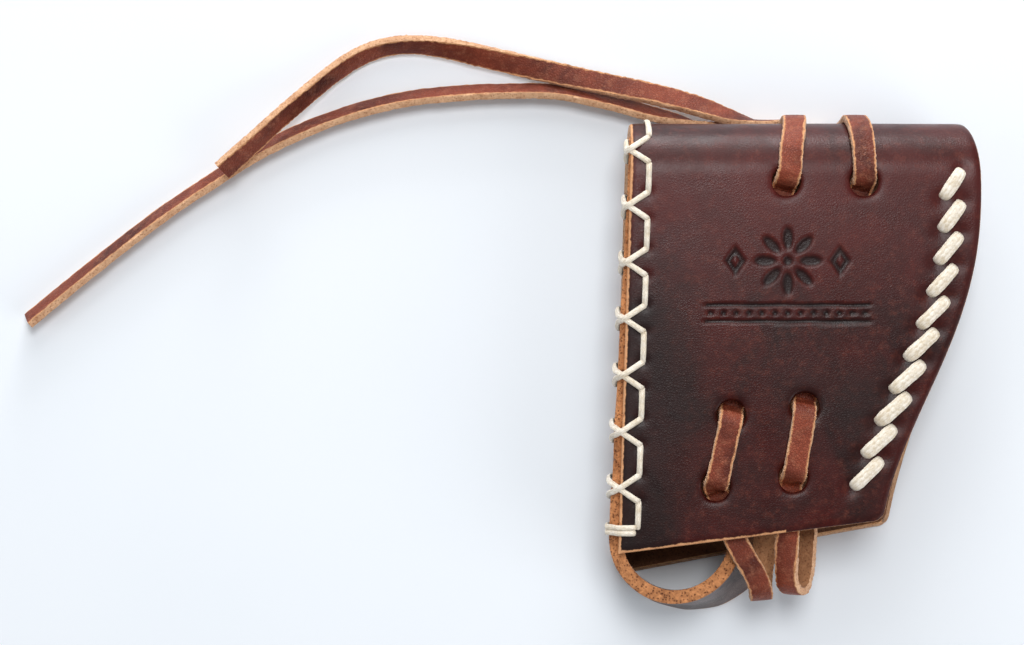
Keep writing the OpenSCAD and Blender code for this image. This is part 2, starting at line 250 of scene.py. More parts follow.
def blend(tree, share, a, b, how="MIX"):
    """Output of a colour Mix node."""
    node = tree.nodes.new("ShaderNodeMix")
    node.data_type, node.blend_type = "RGBA", how
    put(share, node.inputs[0], tree)
    put(a, node.inputs[6], tree)
    put(b, node.inputs[7], tree)
    return node.outputs[2]


def noise(tree, vector, scale, detail=3.0, rough=0.55, warp=0.0):
    """Factor of a Noise node."""
    node = tree.nodes.new("ShaderNodeTexNoise")
    put(vector, node.inputs["Vector"], tree)
    for label, v in (("Scale", scale), ("Detail", detail), ("Roughness", rough), ("Distortion", warp)):
        put(v, node.inputs[label], tree)
    return node.outputs[0]


def cells(tree, vector, scale, feature="F1", random=1.0):
    """Distance of a Voronoi node."""
    node = tree.nodes.new("ShaderNodeTexVoronoi")
    node.feature = feature
    put(vector, node.inputs["Vector"], tree)
    put(scale, node.inputs["Scale"], tree)
    put(random, node.inputs["Randomness"], tree)
    return node.outputs["Distance"]


def grain_group():
    """Leather grain. Height is pebbles a little wider than the pore size, creased where two of
    them meet, over slow swells. Tone wanders slowly; the third output marks the creases for painted shade."""
    g, i, o = group("leather grain", [("Vector", "Vector", None), ("Pebble Scale", "Float", 1300.0),
                                      ("Swell Scale", "Float", 120.0)],
                    [("Height", "Float"), ("Tone", "Float"), ("Crease_Shade", "Float")])
    vector, pebble, swell = i.outputs[0], i.outputs[1], i.outputs[2]
    crease = cells(g, vector, pebble, "DISTANCE_TO_EDGE")
    round_top = spread(g, crease, 0.0, 0.35)
    fine = noise(g, vector, sums(g, "MULTIPLY", pebble, 2.6), 2.0)
    slow = noise(g, vector, swell, 4.0, 0.6, 0.4)
    height = sums(g, "ADD", sums(g, "MULTIPLY", round_top, 0.6), sums(g, "MULTIPLY", fine, 0.4))
    height = sums(g, "ADD", height, sums(g, "MULTIPLY", slow, 1.4))
    g.links.new(height, o.inputs[0])
    g.links.new(slow, o.inputs[1])
    g.links.new(spread(g, crease, 0.0, 0.12, 1.0, 0.0), o.inputs[2])
    return g


def fibre_group():
    """Cut leather. Fibre bundles are noise drawn out in one direction, broken by pits. Tone runs
    from the pits, darkened as painted shade, to the pale bundles."""
    g, i, o = group("cut fibre", [("Vector", "Vector", None), ("Bundle Scale", "Float", 900.0),
                                  ("Pit Scale", "Float", 1500.0)],
                    [("Height", "Float"), ("Tone", "Float")])
    vector, bundle, pit = i.outputs[0], i.outputs[1], i.outputs[2]
    long = noise(g, vector, bundle, 4.0, 0.7, 0.6)
    patch = noise(g, vector, sums(g, "MULTIPLY", bundle, 0.18), 3.0, 0.6)
    holes = spread(g, cells(g, vector, pit), 0.1, 0.42)
    shade = sums(g, "ADD", sums(g, "MULTIPLY", long, 0.75), sums(g, "MULTIPLY", patch, 0.45))
    # Painted shade: the pits darken the tone.
    shade = sums(g, "MULTIPLY", shade, spread(g, holes, 0.0, 1.0, 0.6, 1.0))
    g.links.new(sums(g, "ADD", long, sums(g, "MULTIPLY", holes, 0.5)), o.inputs[0])
    g.links.new(spread(g, shade, 0.32, 0.86), o.inputs[1])
    return g


def wear_group():
    """Where a dyed surface is rubbed back to bare leather: close to an edge, broken up by noise."""
    g, i, o = group("edge wear", [("Vector", "Vector", None), ("Edge", "Float", 0.0),
                                  ("Reach", "Float", 0.5)], [("Worn", "Float")])
    broken = noise(g, i.outputs[0], 700.0, 4.0, 0.7)
    slow = noise(g, i.outputs[0], 90.0, 2.0)
    amount = sums(g, "ADD", i.outputs[1], sums(g, "MULTIPLY", sums(g, "SUBTRACT", broken, 0.5), 0.9))
    amount = sums(g, "ADD", amount, sums(g, "MULTIPLY", sums(g, "SUBTRACT", slow, 0.5), 0.6))
    low = sums(g, "SUBTRACT", 1.0, i.outputs[2])
    g.links.new(spread(g, amount, low, sums(g, "ADD", low, 0.25)), o.inputs[0])
    return g


GRAIN, FIBRE, WEAR = grain_group(), fibre_group(), wear_group()


def use(tree, grouped, vector, **values):
    """A group placed in a material with its own values, named with underscores for spaces."""
    node = tree.nodes.new("ShaderNodeGroup")
    node.node_tree = grouped
    put(vector, node.inputs["Vector"], tree)
    for label, v in values.items():
        put(v, node.inputs[label.replace("_", " ")], tree)
    return node


def named(tree, label):
    """A named number of the piece's own points."""
    node = tree.nodes.new("ShaderNodeAttribute")
    node.attribute_name = label
    return node.outputs["Fac"]


def finish(name, rough, specular=0.5, coat=0.0, coat_rough=0.3, sheen=0.0):
    """A material with its Principled shader, and the place on the object as a vector."""
    made = bpy.data.materials.new(name)
    made.use_nodes = True
    tree = made.node_tree
    shader = tree.nodes["Principled BSDF"]
    for label, v in (("Roughness", rough), ("Specular IOR Level", specular), ("Coat Weight", coat),
                     ("Coat Roughness", coat_rough), ("Sheen Weight", sheen)):
        shader.inputs[label].default_value = v
    place = tree.nodes.new("ShaderNodeTexCoord").outputs["Object"]
    return made, tree, shader, place


def bump(tree, shader, height, strength, depth):
    """Height in parts of depth, in metres, as a bump on the shader."""
    node = tree.nodes.new("ShaderNodeBump")
    node.inputs["Strength"].default_value = strength
    node.inputs["Distance"].default_value = depth
    tree.links.new(height, node.inputs["Height"])
    tree.links.new(node.outputs[0], shader.inputs["Normal"])


def drawn(tree, vector, across):
    """The vector with each axis stretched, so that a pattern runs along one of them."""
    node = tree.nodes.new("ShaderNodeMapping")
    node.inputs["Scale"].default_value = across
    tree.links.new(vector, node.inputs["Vector"])
    return node.outputs[0]


def dyed(name, deep, mid, lit, bare, rough, pebble, grain_depth, coat, reach, stamped=False, clouds=60.0,
         rubbed="8a5030"):
    """Dyed grain leather: three shades that wander, painted shade in the creases, and bare leather at the
    edges.
    """
    made, tree, shader, place = finish(name, rough, 0.2, coat, 0.32)
    grain = use(tree, GRAIN, place, Pebble_Scale=pebble)
    cloud = noise(tree, place, clouds, 4.0, 0.6, 0.8)
    colour = blend(tree, spread(tree, cloud, 0.36, 0.62), tone(deep), tone(mid))
    flecks = spread(tree, noise(tree, place, 420.0, 4.0, 0.75), 0.5, 0.78)
    colour = blend(tree, sums(tree, "MULTIPLY", flecks, 0.4), colour, tone(lit))
    # Painted shade: the creases are darkened towards the deep shade.
    colour = blend(tree, sums(tree, "MULTIPLY", grain.outputs["Crease_Shade"], 0.5), colour, tone(deep))
    wear = use(tree, WEAR, place, Edge=named(tree, "edge"), Reach=reach)
    height = grain.outputs["Height"]
    gloss = spread(tree, grain.outputs["Tone"], 0.3, 0.7, rough - 0.07, rough + 0.1)
    if stamped:
        # Darker over the lower left of the front and in a soft patch below its middle.
        pressed, darker_patch = named(tree, "stamp"), named(tree, "darker_patch")
        darker_patch = sums(tree, "MULTIPLY", darker_patch, spread(tree, cloud, 0.3, 0.6, 1.0, 0.75))
        # Painted light: the front turns lighter towards the fold, as if lit from above.
        colour = blend(tree, sums(tree, "MULTIPLY", named(tree, "painted_top_light"), 0.45), colour, tone("5e2826"))
        colour = blend(tree, darker_patch, colour, tone("1d1110"))
        colour = blend(tree, sums(tree, "MULTIPLY", pressed, 0.85), colour, tone("0d0606"))
    colour = blend(tree, wear.outputs[0], colour, blend(tree, flecks, tone(bare), tone(rubbed)))
    gloss = sums(tree, "ADD", gloss, sums(tree, "MULTIPLY", wear.outputs[0], 0.3), True)
    tree.links.new(colour, shader.inputs["Base Color"])
    tree.links.new(gloss, shader.inputs["Roughness"])
    bump(tree, shader, height, 0.55, grain_depth)
    return made


def cut(name, dark, pale, stretch=(1.0, 1.0, 1.0), bundle=900.0, sheen=0.15, depth=0.00022):
    """Raw cut or suede leather between two shades, with fibres along the least stretched axis."""
    made, tree, shader, place = finish(name, 0.88, 0.3, sheen=sheen)
    fibre = use(tree, FIBRE, drawn(tree, place, stretch), Bundle_Scale=bundle)
    tree.links.new(blend(tree, fibre.outputs["Tone"], tone(dark), tone(pale)), shader.inputs["Base Color"])
    bump(tree, shader, fibre.outputs["Height"], 0.7, depth)
    return made


def waxed_thread():
    """Cream braid: fine fibres along the thread, with painted shade in the grooves and towards its ends,
    where it sinks into its holes.
    """
    made, tree, shader, place = finish("waxed thread", 0.55, 0.4, 0.15, 0.4, 0.2)
    along, around, low = named(tree, "along"), named(tree, "around"), named(tree, "groove_shade")
    spot = tree.nodes.new("ShaderNodeCombineXYZ")
    put(sums(tree, "MULTIPLY", along, 0.35), spot.inputs[0], tree)
    put(sums(tree, "MULTIPLY", around, 5.0), spot.inputs[1], tree)
    fibre = noise(tree, spot.outputs[0], 3.2, 4.0, 0.65)
    patch = noise(tree, place, 330.0, 3.0)
    shade = sums(tree, "ADD", sums(tree, "MULTIPLY", fibre, 0.7), sums(tree, "MULTIPLY", patch, 0.4))
    colour = blend(tree, spread(tree, shade, 0.4, 0.72), tone("d2c0a2"), tone("fff9ee"))
    # Painted shade in the grooves between strands and near the ends, where the thread sinks into its holes.
    colour = blend(tree, sums(tree, "MULTIPLY", low, 0.75, True), colour, tone("8f7350"))
    tree.links.new(colour, shader.inputs["Base Color"])
    bump(tree, shader, fibre, 0.6, 0.00025)
    return made


hide_grain = dyed("hide grain", "270a08", "440f0a", "80402f", "dda375", 0.36, 1700.0, 0.00006, 0.08, 0.35,
                  True,
                  rubbed="a8683f")
hide_raw = cut("hide raw edge", "9c6238", "eab888", (1.0, 1.0, 0.5))
hide_flesh = cut("hide flesh side", "553523", "85593c", bundle=500.0)
# The strip's shades are brown leather, greyed by painted sheen.
strip_grain_and_sheen = dyed("strip grain", "3d3230", "6b5a56", "8f7c73", "c78d5c", 0.42, 1500.0, 0.00012, 0.15, 0.3)
strip_raw = cut("strip raw edge", "59290f", "efa56c", bundle=620.0, depth=0.0006)
strip_flesh = cut("strip flesh side", "38241a", "6d4733", bundle=500.0)
lace_grain = dyed("lace grain", "4b1d13", "8a412c", "c88464", "cf966a", 0.5, 1500.0, 0.0003, 0.05, 0.42)
lace_raw = cut("lace raw edge", "a8714d", "efc39b", bundle=1100.0)
lace_flesh = cut("lace flesh side", "855639", "cd976b", bundle=700.0)
cream_thread = waxed_thread()

# ---- hide ----


def left_edge(y):
    """A straight line that leans outwards towards the lower end."""
    return LEFT_X - LEFT_LEAN * (TOP_Y - y) / FRONT_H


def right_edge(y, drop=0.0, inwards=WAIST_IN):
    """A quarter of an ellipse at the upper corner, then half a cosine wave in to the waist, drawn
    out by drop for the longer back."""
    u = np.clip((y - WIDE_Y) / (TOP_Y + CORNER_OUT - WIDE_Y), 0, 1)
    t = np.clip((WIDE_Y - y) / (WIDE_Y - LOW_Y + drop), 0, 1.1) ** WAIST_EASE
    return np.where(y > WIDE_Y, RIGHT_X - CORNER_IN * (1 - np.sqrt(1 - u * u)),
                    RIGHT_X - inwards * (1 - np.cos(math.pi * t)) / 2)


def lower_edge(u, base, rise):
    """Height of the lower edge at share u of the width: a slope, then a quarter round."""
    turn = np.clip((u - 0.955) / 0.045, 0, 1)
    return base + rise * np.minimum(u / 0.955, 1) + 2.6 * (1 - np.sqrt(1 - turn ** 2))


def stepped(*marks):
    """Positions from the first mark to the last: each mark is (position, step up to the next)."""
    runs = []
    for (a, step), (b, _) in zip(marks[:-1], marks[1:]):
        runs.append(np.linspace(a, b, max(1, round((b - a) / step)), endpoint=False))
    return np.concatenate([*runs, [marks[-1][0]]])


def stamp(x, y):
    """Depth share of the tooled ornament: eight petals round a dot, a lozenge on either side, and
    two rules with a row of dots between them. Each shape is 1 inside and falls to 0 at its edge."""
    def inside(reach, soft):
        return np.clip((1 - reach) / soft, 0, 1)
    dx, dy = x - 0.3, y - 17.4
    far, turn = np.hypot(dx, dy), np.arctan2(dy, dx)
    folded = (turn + math.pi / 8) % (math.pi / 4) - math.pi / 8
    petal = inside(np.hypot((far * np.cos(folded) - 5.3) / 3.1, far * np.sin(folded) / 1.45), 0.35)
    dot = inside(far / 1.35, 0.4)
    lozenge = inside(np.abs(np.abs(dx) - 12.2) / 2.9 + np.abs(dy) / 4.2, 0.3)
    vein = inside(np.abs(np.abs(dx) - 12.2) / 1.1 + np.abs(dy) / 1.7, 0.4)
    width = np.clip((19.6 - np.abs(dx)) / 0.5, 0, 1)
    rules = inside(np.abs(np.abs(y - 5.2) - 1.9) / 0.5, 0.5) * width
    beads = inside(np.hypot((dx + 1.5) % 3 - 1.5, y - 5.2) / 0.85, 0.5) * width
    return np.clip(petal + dot + lozenge - vein + rules + beads, 0, 1)


def cross_y(i):
    """Height of the thin thread's crossing i, counted downwards in equal steps."""
    return CROSS_TOP - CROSS_STEP * i


def stitch_ends(i):
    """Outer and inner end of thick stitch i on the front."""
    y = STITCH_TOP - STITCH_STEP * i
    low = y - STITCH_FALL
    return (float(right_edge(np.float64(y))) - STITCH_INSET, y), \
           (float(right_edge(np.float64(low))) - STITCH_INSET - STITCH_REACH, low)


def reamed(x, v, near, centre, radius):
    """Grid points moved so that a ring of them lies on a hole's circle. Counted in grid lines from
    the middle, square rings turn into round ones at the hole and back into square ones further out.
    Returns the points and how many radii out each ring is."""
    j0, i0 = np.unravel_index(np.argmin(np.hypot(x - centre[0], v - centre[1])), x.shape)
    right = int(np.argmax(x[j0, i0:] - x[j0, i0] >= 0.96 * radius))
    left = int(np.argmax(x[j0, i0] - x[j0, i0::-1] >= 0.96 * radius))
    up = int(np.argmax(v[j0:, i0] - v[j0, i0] >= 0.96 * radius))
    down = int(np.argmax(v[j0, i0] - v[j0::-1, i0] >= 0.96 * radius))
    j, i = np.indices(x.shape)
    p = (i - i0) / np.where(i > i0, right, left)
    q = (j - j0) / np.where(j > j0, up, down)
    ring, turn = np.maximum(np.abs(p), np.abs(q)), np.arctan2(q, p)
    out = radius * (1 + (ring - 1) * 0.95)
    t = np.clip((ring - 1) / 1.1, 0, 1)
    t = t * t * (3 - 2 * t)
    x = (centre[0] + out * np.cos(turn)) * (1 - t) + x * t
    v = (centre[1] + out * np.sin(turn)) * (1 - t) + v * t
    return x, v, np.minimum(near, ring)


def make_hide():
    """The hide's outer face as a grid: across from the left edge to the right edge, and round from
    the front's lower edge over the fold to the back's. On the fold the point turns about the fold's
    axis by its distance past the front over the radius. The wall is added inwards."""
    across = stepped((0, 0.3), (0.6, 0.7), (1.3, 0.74), (21, 0.43), (53, 0.76), (80, 0.7), (80.9, 0.3),
                     (81.5, 0)) / 81.5
    front = (stepped((-51, 0.3), (-50.4, 0.7), (-49.5, 0.74), (1, 0.43), (28.5, 0.74), (37.5,
        0)) + 51) / 88.5
    back = stepped((0, 1.9), (92.5, 0.9), (94.5, 0)) / 94.5
    arc = math.pi * BEND_R
    turn = np.linspace(0, arc, 44)[1:-1]
    low = lower_edge(across, LOW_Y, LOWER_RISE)
    back_low = lower_edge(across, LOW_Y - BACK_DROP, LOWER_RISE + BACK_SLANT)
    back_low += np.maximum(BACK_CORNER - across * 66, 0)
    v = np.vstack([low + front[:, None] * (FOLD_Y - low),
                   np.broadcast_to(FOLD_Y + turn[:, None], (len(turn), len(across))),
                   FOLD_Y + arc + back[:, None] * (FOLD_Y - back_low)])
    phi = np.clip((v - FOLD_Y) / BEND_R, 0, math.pi)
    y = np.where(v < FOLD_Y, v, np.where(v > FOLD_Y + arc, 2 * FOLD_Y + arc - v,
                                         FOLD_Y + BEND_R * np.sin(phi)))
    drop = np.where(v > FOLD_Y + arc, BACK_DROP, 0.0)
    left, right = left_edge(y), right_edge(y, drop, np.where(drop > 0, BACK_WAIST_IN, WAIST_IN))
    x = left + across * (right - left)

    rim = np.minimum(np.minimum(x - left, right - x),
                     np.minimum((v - low), 2 * FOLD_Y + arc - v - back_low))
    ring = np.full(x.shape, 99.0)
    for centre in (UPPER_LEFT, UPPER_RIGHT, MIDDLE_LEFT, MIDDLE_RIGHT, LOWER_LEFT, LOWER_RIGHT):
        x, v, ring = reamed(x, v, ring, centre, HOLE_R)
    phi = np.clip((v - FOLD_Y) / BEND_R, 0, math.pi)
    on_front = v < FOLD_Y + 4
    mouth = np.where(on_front, np.maximum(ring - 1, 0) * HOLE_R, 99.0)

    pressed = np.where(v < FOLD_Y, stamp(x, v), 0.0)
    lift = -0.45 * np.exp(-rim / 0.4) - 0.5 * np.exp(-mouth / 0.5) - 0.34 * pressed
    lift += 0.09 * np.sin(x / 9.0 + v / 17.0) * np.sin(v / 12.0 - 1.0)
    for i in range(6):
        for side in (-1, 1):
            hole_y = cross_y(i) + side * CROSS_HALF
            lift -= 0.45 * np.exp(-((x - left_edge(hole_y) - CROSS_INSET) ** 2 + (v - hole_y) ** 2) / 1.4)
    for i in range(10):
        for end in stitch_ends(i):
            lift -= 0.5 * np.exp(-((x - end[0]) ** 2 + (v - end[1]) ** 2) / 3.2)

    y = np.where(v < FOLD_Y, v, np.where(v > FOLD_Y + arc, 2 * FOLD_Y + arc - v,
                                         FOLD_Y + BEND_R * np.sin(phi)))
    points = np.stack([x, y + lift * np.sin(phi), BEND_R + (BEND_R + lift) * np.cos(phi)], -1)
    points[..., 1] = np.where(phi > 3.14, y, points[..., 1])
    faces = grid_faces(*x.shape, False)
    open_ring = ring.ravel()
    faces = faces[~(open_ring[faces] <= 1 + 1e-9).all(1)][:, [0, 3, 2, 1]]
    used = np.unique(faces)
    number = np.zeros(x.size, int)
    number[used] = np.arange(len(used))
    bare = np.where(x < 0, 0.75, 0.12)
    # Darker over the lower left of the front and in a soft patch below its middle.
    darker_patch = np.clip((-13 - x + 0.25 * (10 - np.abs(v + 15))) / 16, 0, 1) * np.clip((26 - v) / 22, 0, 1)
    darker_patch = np.maximum(darker_patch, 0.6 * np.exp(-((x - 12) / 22) ** 2 - ((v + 18) / 17) ** 2))
    darker_patch = darker_patch * darker_patch * (3 - 2 * darker_patch)
    # Painted light: lighter towards the fold, as if lit from above, falling to a fifth over the rest of the
    # fold and the back.
    painted_top_light = np.clip((v - 2) / 32, 0, 1) * np.clip((FOLD_Y + 8 - v) / 8, 0.2, 1)
    edge = np.maximum(np.clip(1.5 - rim / bare, 0, 1), 0.5 * np.exp(-mouth / 0.35))
    made = piece("hide", points.reshape(-1, 3)[used], number[faces].tolist(), np.zeros(len(faces)),
                 [hide_grain, hide_flesh, hide_raw], "leather_wrap",
                 {"edge": edge.ravel()[used], "stamp": pressed.ravel()[used], "darker_patch": darker_patch.ravel()[used],
                  "painted_top_light": painted_top_light.ravel()[used]}, 60)
    wall = made.modifiers.new("wall", "SOLIDIFY")
    wall.thickness, wall.offset = HIDE_T * MM, -1.0
    wall.material_offset, wall.material_offset_rim = 1, 2
    return made


# ---- side strip ----


def make_strip():
    """The strip's outer face follows the strip's line and, round the loop, leans out from its upper
    edge to a wider line where it meets the table. The inner face lies one thickness in along the
    surface's own normal, and a section runs up the outer face, over the rim, down the inner face
    and back under."""
    top = FOLD_Y + (BEND_R - HIDE_T - 0.25) * np.sin(np.radians(np.linspace(76, 0, 16)))
    beside = np.concatenate([top, stepped((-FOLD_Y, 0.9), (-LOOP_Y, 0))[1:] * -1])
    turn = np.linspace(180, LOOP_END, 58)[1:]
    line_x = STRIP_LOW_X + (LEFT_X + 1.5 - STRIP_LOW_X) * (beside - LOOP_Y) / (TOP_Y - LOOP_Y)
    outer = np.vstack([np.stack([line_x - STRIP_T / 2, beside], 1),
                       np.stack([LOOP_X + (LOOP_R + STRIP_T / 2) * np.cos(np.radians(turn)),
                                 LOOP_Y + (LOOP_R + STRIP_T / 2) * np.sin(np.radians(turn))], 1)])
    marks = [150, 180, 210, 235, 260, 285, 310, 332, 350]
    foot = np.stack([np.interp(turn, marks, [-40.2, -40.2, -39.4, -35.7, -29.2, -21.3, -12.8, -5.8, -2.6]),
                     np.interp(turn, marks, [-40, -47.3, -55.6, -61.4, -65.6, -67.6, -66.6, -62.3,
                                             -57.2])], 1)
    for _ in range(6):
        foot[1:-1] = (foot[:-2] + 2 * foot[1:-1] + foot[2:]) / 4
    foot = np.vstack([outer[:len(beside)] + [1.1, 0], foot])
    half = np.sqrt(np.maximum((BEND_R - HIDE_T - 0.25) ** 2 - np.maximum(outer[:, 1] - FOLD_Y, 0) ** 2, 0))
    taper = np.maximum(outer[:, 0] + 33, 0) * LOOP_TAPER / 35.2
    taper[:len(beside)] = 0
    z1 = np.where(outer[:, 1] > FOLD_Y, BEND_R + half, INNER_Z - 0.05 - taper)
    back_end = LOW_Y - BACK_DROP + (LOWER_RISE + BACK_SLANT) * (foot[:, 0] + 39.4) / 62
    free = np.clip((back_end - 0.8 - foot[:, 1]) / 2.5, 0, 1)
    z0 = np.where(outer[:, 1] > FOLD_Y, BEND_R - half, HIDE_T + 0.05) - 2.5 * free
    share = np.linspace(0, 1, 17)
    z = z0[:, None] + (z1 - z0)[:, None] * share
    lean = (1 - share) ** np.where(np.arange(len(outer)) < len(beside), 1.0, 1.3)[:, None]
    face = np.concatenate([outer[:, None] + (foot - outer)[:, None] * lean[..., None], z[..., None]], -1)
    wander = drift(lengths(outer), 23, 5)[:, 0]
    face[..., 0] += 0.18 * wander[:, None] * share
    along, up = np.gradient(face, axis=0), np.gradient(face, axis=1)
    out = unit(np.cross(along, up))
    inner = face - out * STRIP_T
    r = np.random.default_rng(11)
    rim = np.stack([face[:, -1] + (inner[:, -1] - face[:, -1]) * s for s in (0.12, 0.35, 0.62, 0.88)], 1)
    rim += r.normal(0, 0.09, rim.shape)
    rim[..., 2] += 0.28
    sole = np.stack([inner[:, 0] + (face[:, 0] - inner[:, 0]) * s for s in (0.15, 0.85)], 1)
    sole[..., 2] = np.maximum(sole[..., 2] - 0.2, 0.25)
    inner[..., 2] = np.maximum(inner[..., 2], 0.35)
    ring = np.concatenate([face, rim, inner[:, ::-1], sole], 1)
    n, m = ring.shape[:2]
    quads = grid_faces(n, m, True)
    column = quads[:, 0] % m
    kinds = np.select([column < 16, column < 21, column < 37], [0, 1, 2], 1)
    edge = np.zeros((n, m))
    edge[:, :17] = np.maximum(np.exp(-(z1[:, None] - z) / 0.6), 0.8 * np.exp(-(z - z0[:, None]) / 0.6))
    caps = [list(range(m)), [(n - 1) * m + k for k in range(m - 1, -1, -1)]]
    return piece("side_strip_leather", ring.reshape(-1, 3), quads.tolist() + caps,
                 np.concatenate([kinds, [1, 1]]), [strip_grain_and_sheen, strip_raw, strip_flesh],
                 "side_strip", {"edge": edge})


# ---- threads ----


def cord_part(spots, across, width, thick, columns, strands, pitch, seed, ends=1.0, depth=0.03):
    """A thread's mesh along its spots: an oval section whose radius rises over each strand, which winds
    round once in its pitch. Values hold the distance along, the turn around, and the share of painted
    shade at a point, in the grooves between strands and near the thread's ends."""
    rows = through(np.hstack([np.asarray(spots, float), np.broadcast_to(across, (len(spots), 3))]), 7)
    s = lengths(rows)
    phi = np.linspace(-math.pi / 2, 1.5 * math.pi, columns, endpoint=False)
    wind = strands * phi[None] - 2 * math.pi * s[:, None] / pitch
    ridge = np.cos(wind)
    fuzz = np.random.default_rng(seed).normal(0, 0.012, (len(s), columns))
    near = np.minimum(s, s[-1] - s)
    narrow = ends + (1 - ends) * np.clip(near / (1.3 * width), 0, 1) ** 0.55
    swell = 1 + 0.05 * drift(s, 6, seed)[:, 0]
    size = (1 + depth * ridge + fuzz) * (narrow * swell)[:, None]
    shape = np.stack([size * width / 2 * np.cos(phi), size * thick / 2 * np.sin(phi)], -1)
    points, faces = swept(rows, shape)
    # Painted shade: darker in the grooves between strands and near the ends, where the thread enters its
    # holes.
    groove_shade = np.clip(-ridge, 0, 1) ** 2 * 0.3 + np.exp(-near / 0.8)[:, None] * 0.5
    values = {"along": np.broadcast_to(s[:, None], groove_shade.shape),
              "around": np.broadcast_to(phi / (2 * math.pi), groove_shade.shape), "groove_shade": groove_shade}
    return points, faces, np.zeros(len(faces)), values


def surface_z(y):
    """Level of the hide's outer face at height y, over the start of the fold too."""
    s = np.clip((y - FOLD_Y) / BEND_R, 0, 1)
    return BEND_R + BEND_R * np.sqrt(1 - s * s)


def make_edge_thread():
    """The thin thread. At each crossing two arms run from their holes over the front's edge to the
    strip's outer face and into it; straight runs join the crossings, and two turns end it."""
    parts = []
    heights = [cross_y(i) for i in range(-1, 6)]
    for n, y in enumerate(heights):
        tip_x = (STRIP_LOW_X + (LEFT_X + 1.5 - STRIP_LOW_X) * (y - LOOP_Y) / (TOP_Y - LOOP_Y)
                 - STRIP_T / 2 - 0.5)
        level = surface_z(y)
        for side in (-1, 1):
            hy = y + side * CROSS_HALF
            hx, hz, edge = left_edge(hy) + CROSS_INSET, surface_z(hy), left_edge(y)
            meet = edge - 0.35
            def at(x, z):
                return [x, y + (hy - y) * (x - meet) / (hx - meet), z]
            over = 0.2 if side > 0 else -0.1
            spots = [[hx + 0.15, hy, hz - 2.2], [hx + 0.05, hy, hz - 0.5], at(hx - 0.5, hz + 0.4),
                     at((hx + edge) / 2, (hz + level) / 2 + 0.5), at(edge + 0.5, level + 0.4 + over),
                     at(edge - 0.5, level + over),
                     at(min(edge - 1.1, tip_x + 0.7), level - 1.4), at(tip_x, level - 3.4), [tip_x - 0.1,
                         y - side * 2.2, level - 6.0],
                     [tip_x + 0.6, y - side * 2.3, level - 8.3], [tip_x + 2.6, y - side * 2.3, level - 8.7]]
            lean = unit(np.array([-(hy - y), hx - meet, 0]))
            parts.append(cord_part(spots, lean, THIN_W, 0.85, 12, 2, 14.0, 40 + 2 * n + side))
        low = heights[n + 1] + CROSS_HALF if n < 6 else -45.2
        high = y - CROSS_HALF
        ys = np.linspace(high, low, 5)
        ex, ez = left_edge(ys) + CROSS_INSET, surface_z(ys) + 0.45
        spots = [[ex[0], high, ez[0] - 2.6], [ex[0], high - 0.1, ez[0] - 0.8], *np.stack([ex, ys, ez],
            1)[1:-1].tolist(),
                 [ex[-1], low + 0.1, ez[-1] - 0.8], [ex[-1], low, ez[-1] - 2.6]]
        spots[2][2] += 0.05
        parts.append(cord_part(spots, np.array([1.0, 0, 0]), THIN_W, 0.85, 12, 2, 14.0, 80 + n))
    start = left_edge(46.7) + CROSS_INSET
    spots = [[start, 46.6, 20.5], [start, 47.1, 22.2], [start, 48.8, 20.9], [start, 50.6, 16.5], [start,
        51.1, 12.5],
             [start, 50.3, 9.0], [start, 48.9, 8.6]]
    parts.append(cord_part(spots, np.array([1.0, 0, 0]), THIN_W, 0.85, 12, 2, 14.0, 95))
    for n in range(2):
        y = -44.9 - 1.25 * n
        hx, edge = left_edge(y) + CROSS_INSET - 0.6, left_edge(y)
        tip = STRIP_LOW_X - STRIP_T / 2 - 0.35
        spots = [[hx, y, 23.8], [hx - 0.1, y, 25.7], [hx - 0.8, y, 26.45], [edge + 0.6, y, 26.5],
                 [edge - 0.5, y, 25.9],
                 [edge - 1.3, y, 24.4], [tip, y, 22.8], [tip, y, 20], [tip + 0.6, y, 17.6], [tip + 2.4, y,
                     17.2]]
        parts.append(cord_part(spots, np.array([0, 1.0, 0]), 1.35, 0.95, 12, 2, 14.0, 100 + n))
    points, faces, kinds, values = joined(parts)
    return piece("edge_stitches", points, faces, kinds, [cream_thread], "edge_thread", values, 60)


def make_saddle_thread():
    """The thick braid: each stitch rises from its outer hole, lies over the front and sinks into its
    inner hole; short runs inside the front join each stitch to the next."""
    parts, r = [], np.random.default_rng(3)
    for i in range(10):
        a, b = (np.array(e) for e in stitch_ends(i))
        way = unit(b - a)
        across = np.array([way[1], -way[0], 0.0])
        crown = FACE_Z + 0.78 + r.uniform(-0.06, 0.08)
        def at(t, z):
            return [*(a + (b - a) * t), z]
        spots = [at(0.07, FACE_Z - 2.4), at(0.05, FACE_Z - 0.9), at(0.11, FACE_Z + 0.3), at(0.26, crown),
                 at(0.5, crown + 0.08),
                 at(0.74, crown), at(0.89, FACE_Z + 0.3), at(0.95, FACE_Z - 0.9), at(0.93, FACE_Z - 2.4)]
        parts.append(cord_part(spots, across, THICK_W * r.uniform(0.86, 1.0), 1.2, 44, 9, 60.0, 20 + i,
                               0.3, 0.035))
        if i < 9:
            c = np.array(stitch_ends(i + 1)[0])
            run = unit(c - b)
            turned = np.array([run[1], -run[0], 0.0])
            def under(t, z):
                return [*(b + (c - b) * t), z]
            spots = [under(0.0, UNDER_Z + 2.4), under(0.02, UNDER_Z + 0.9), under(0.15, UNDER_Z + 0.45),
                     under(0.5, UNDER_Z + 0.4),
                     under(0.85, UNDER_Z + 0.45), under(0.98, UNDER_Z + 0.9), under(1.0, UNDER_Z + 2.4)]
            parts.append(cord_part(spots, turned, 2.4, 1.0, 24, 6, 30.0, 60 + i, 0.7))
    points, faces, kinds, values = joined(parts)
    return piece("saddle_stitches", points, faces, kinds, [cream_thread], "saddle_thread",
                 values, 60)


# ---- laces ----


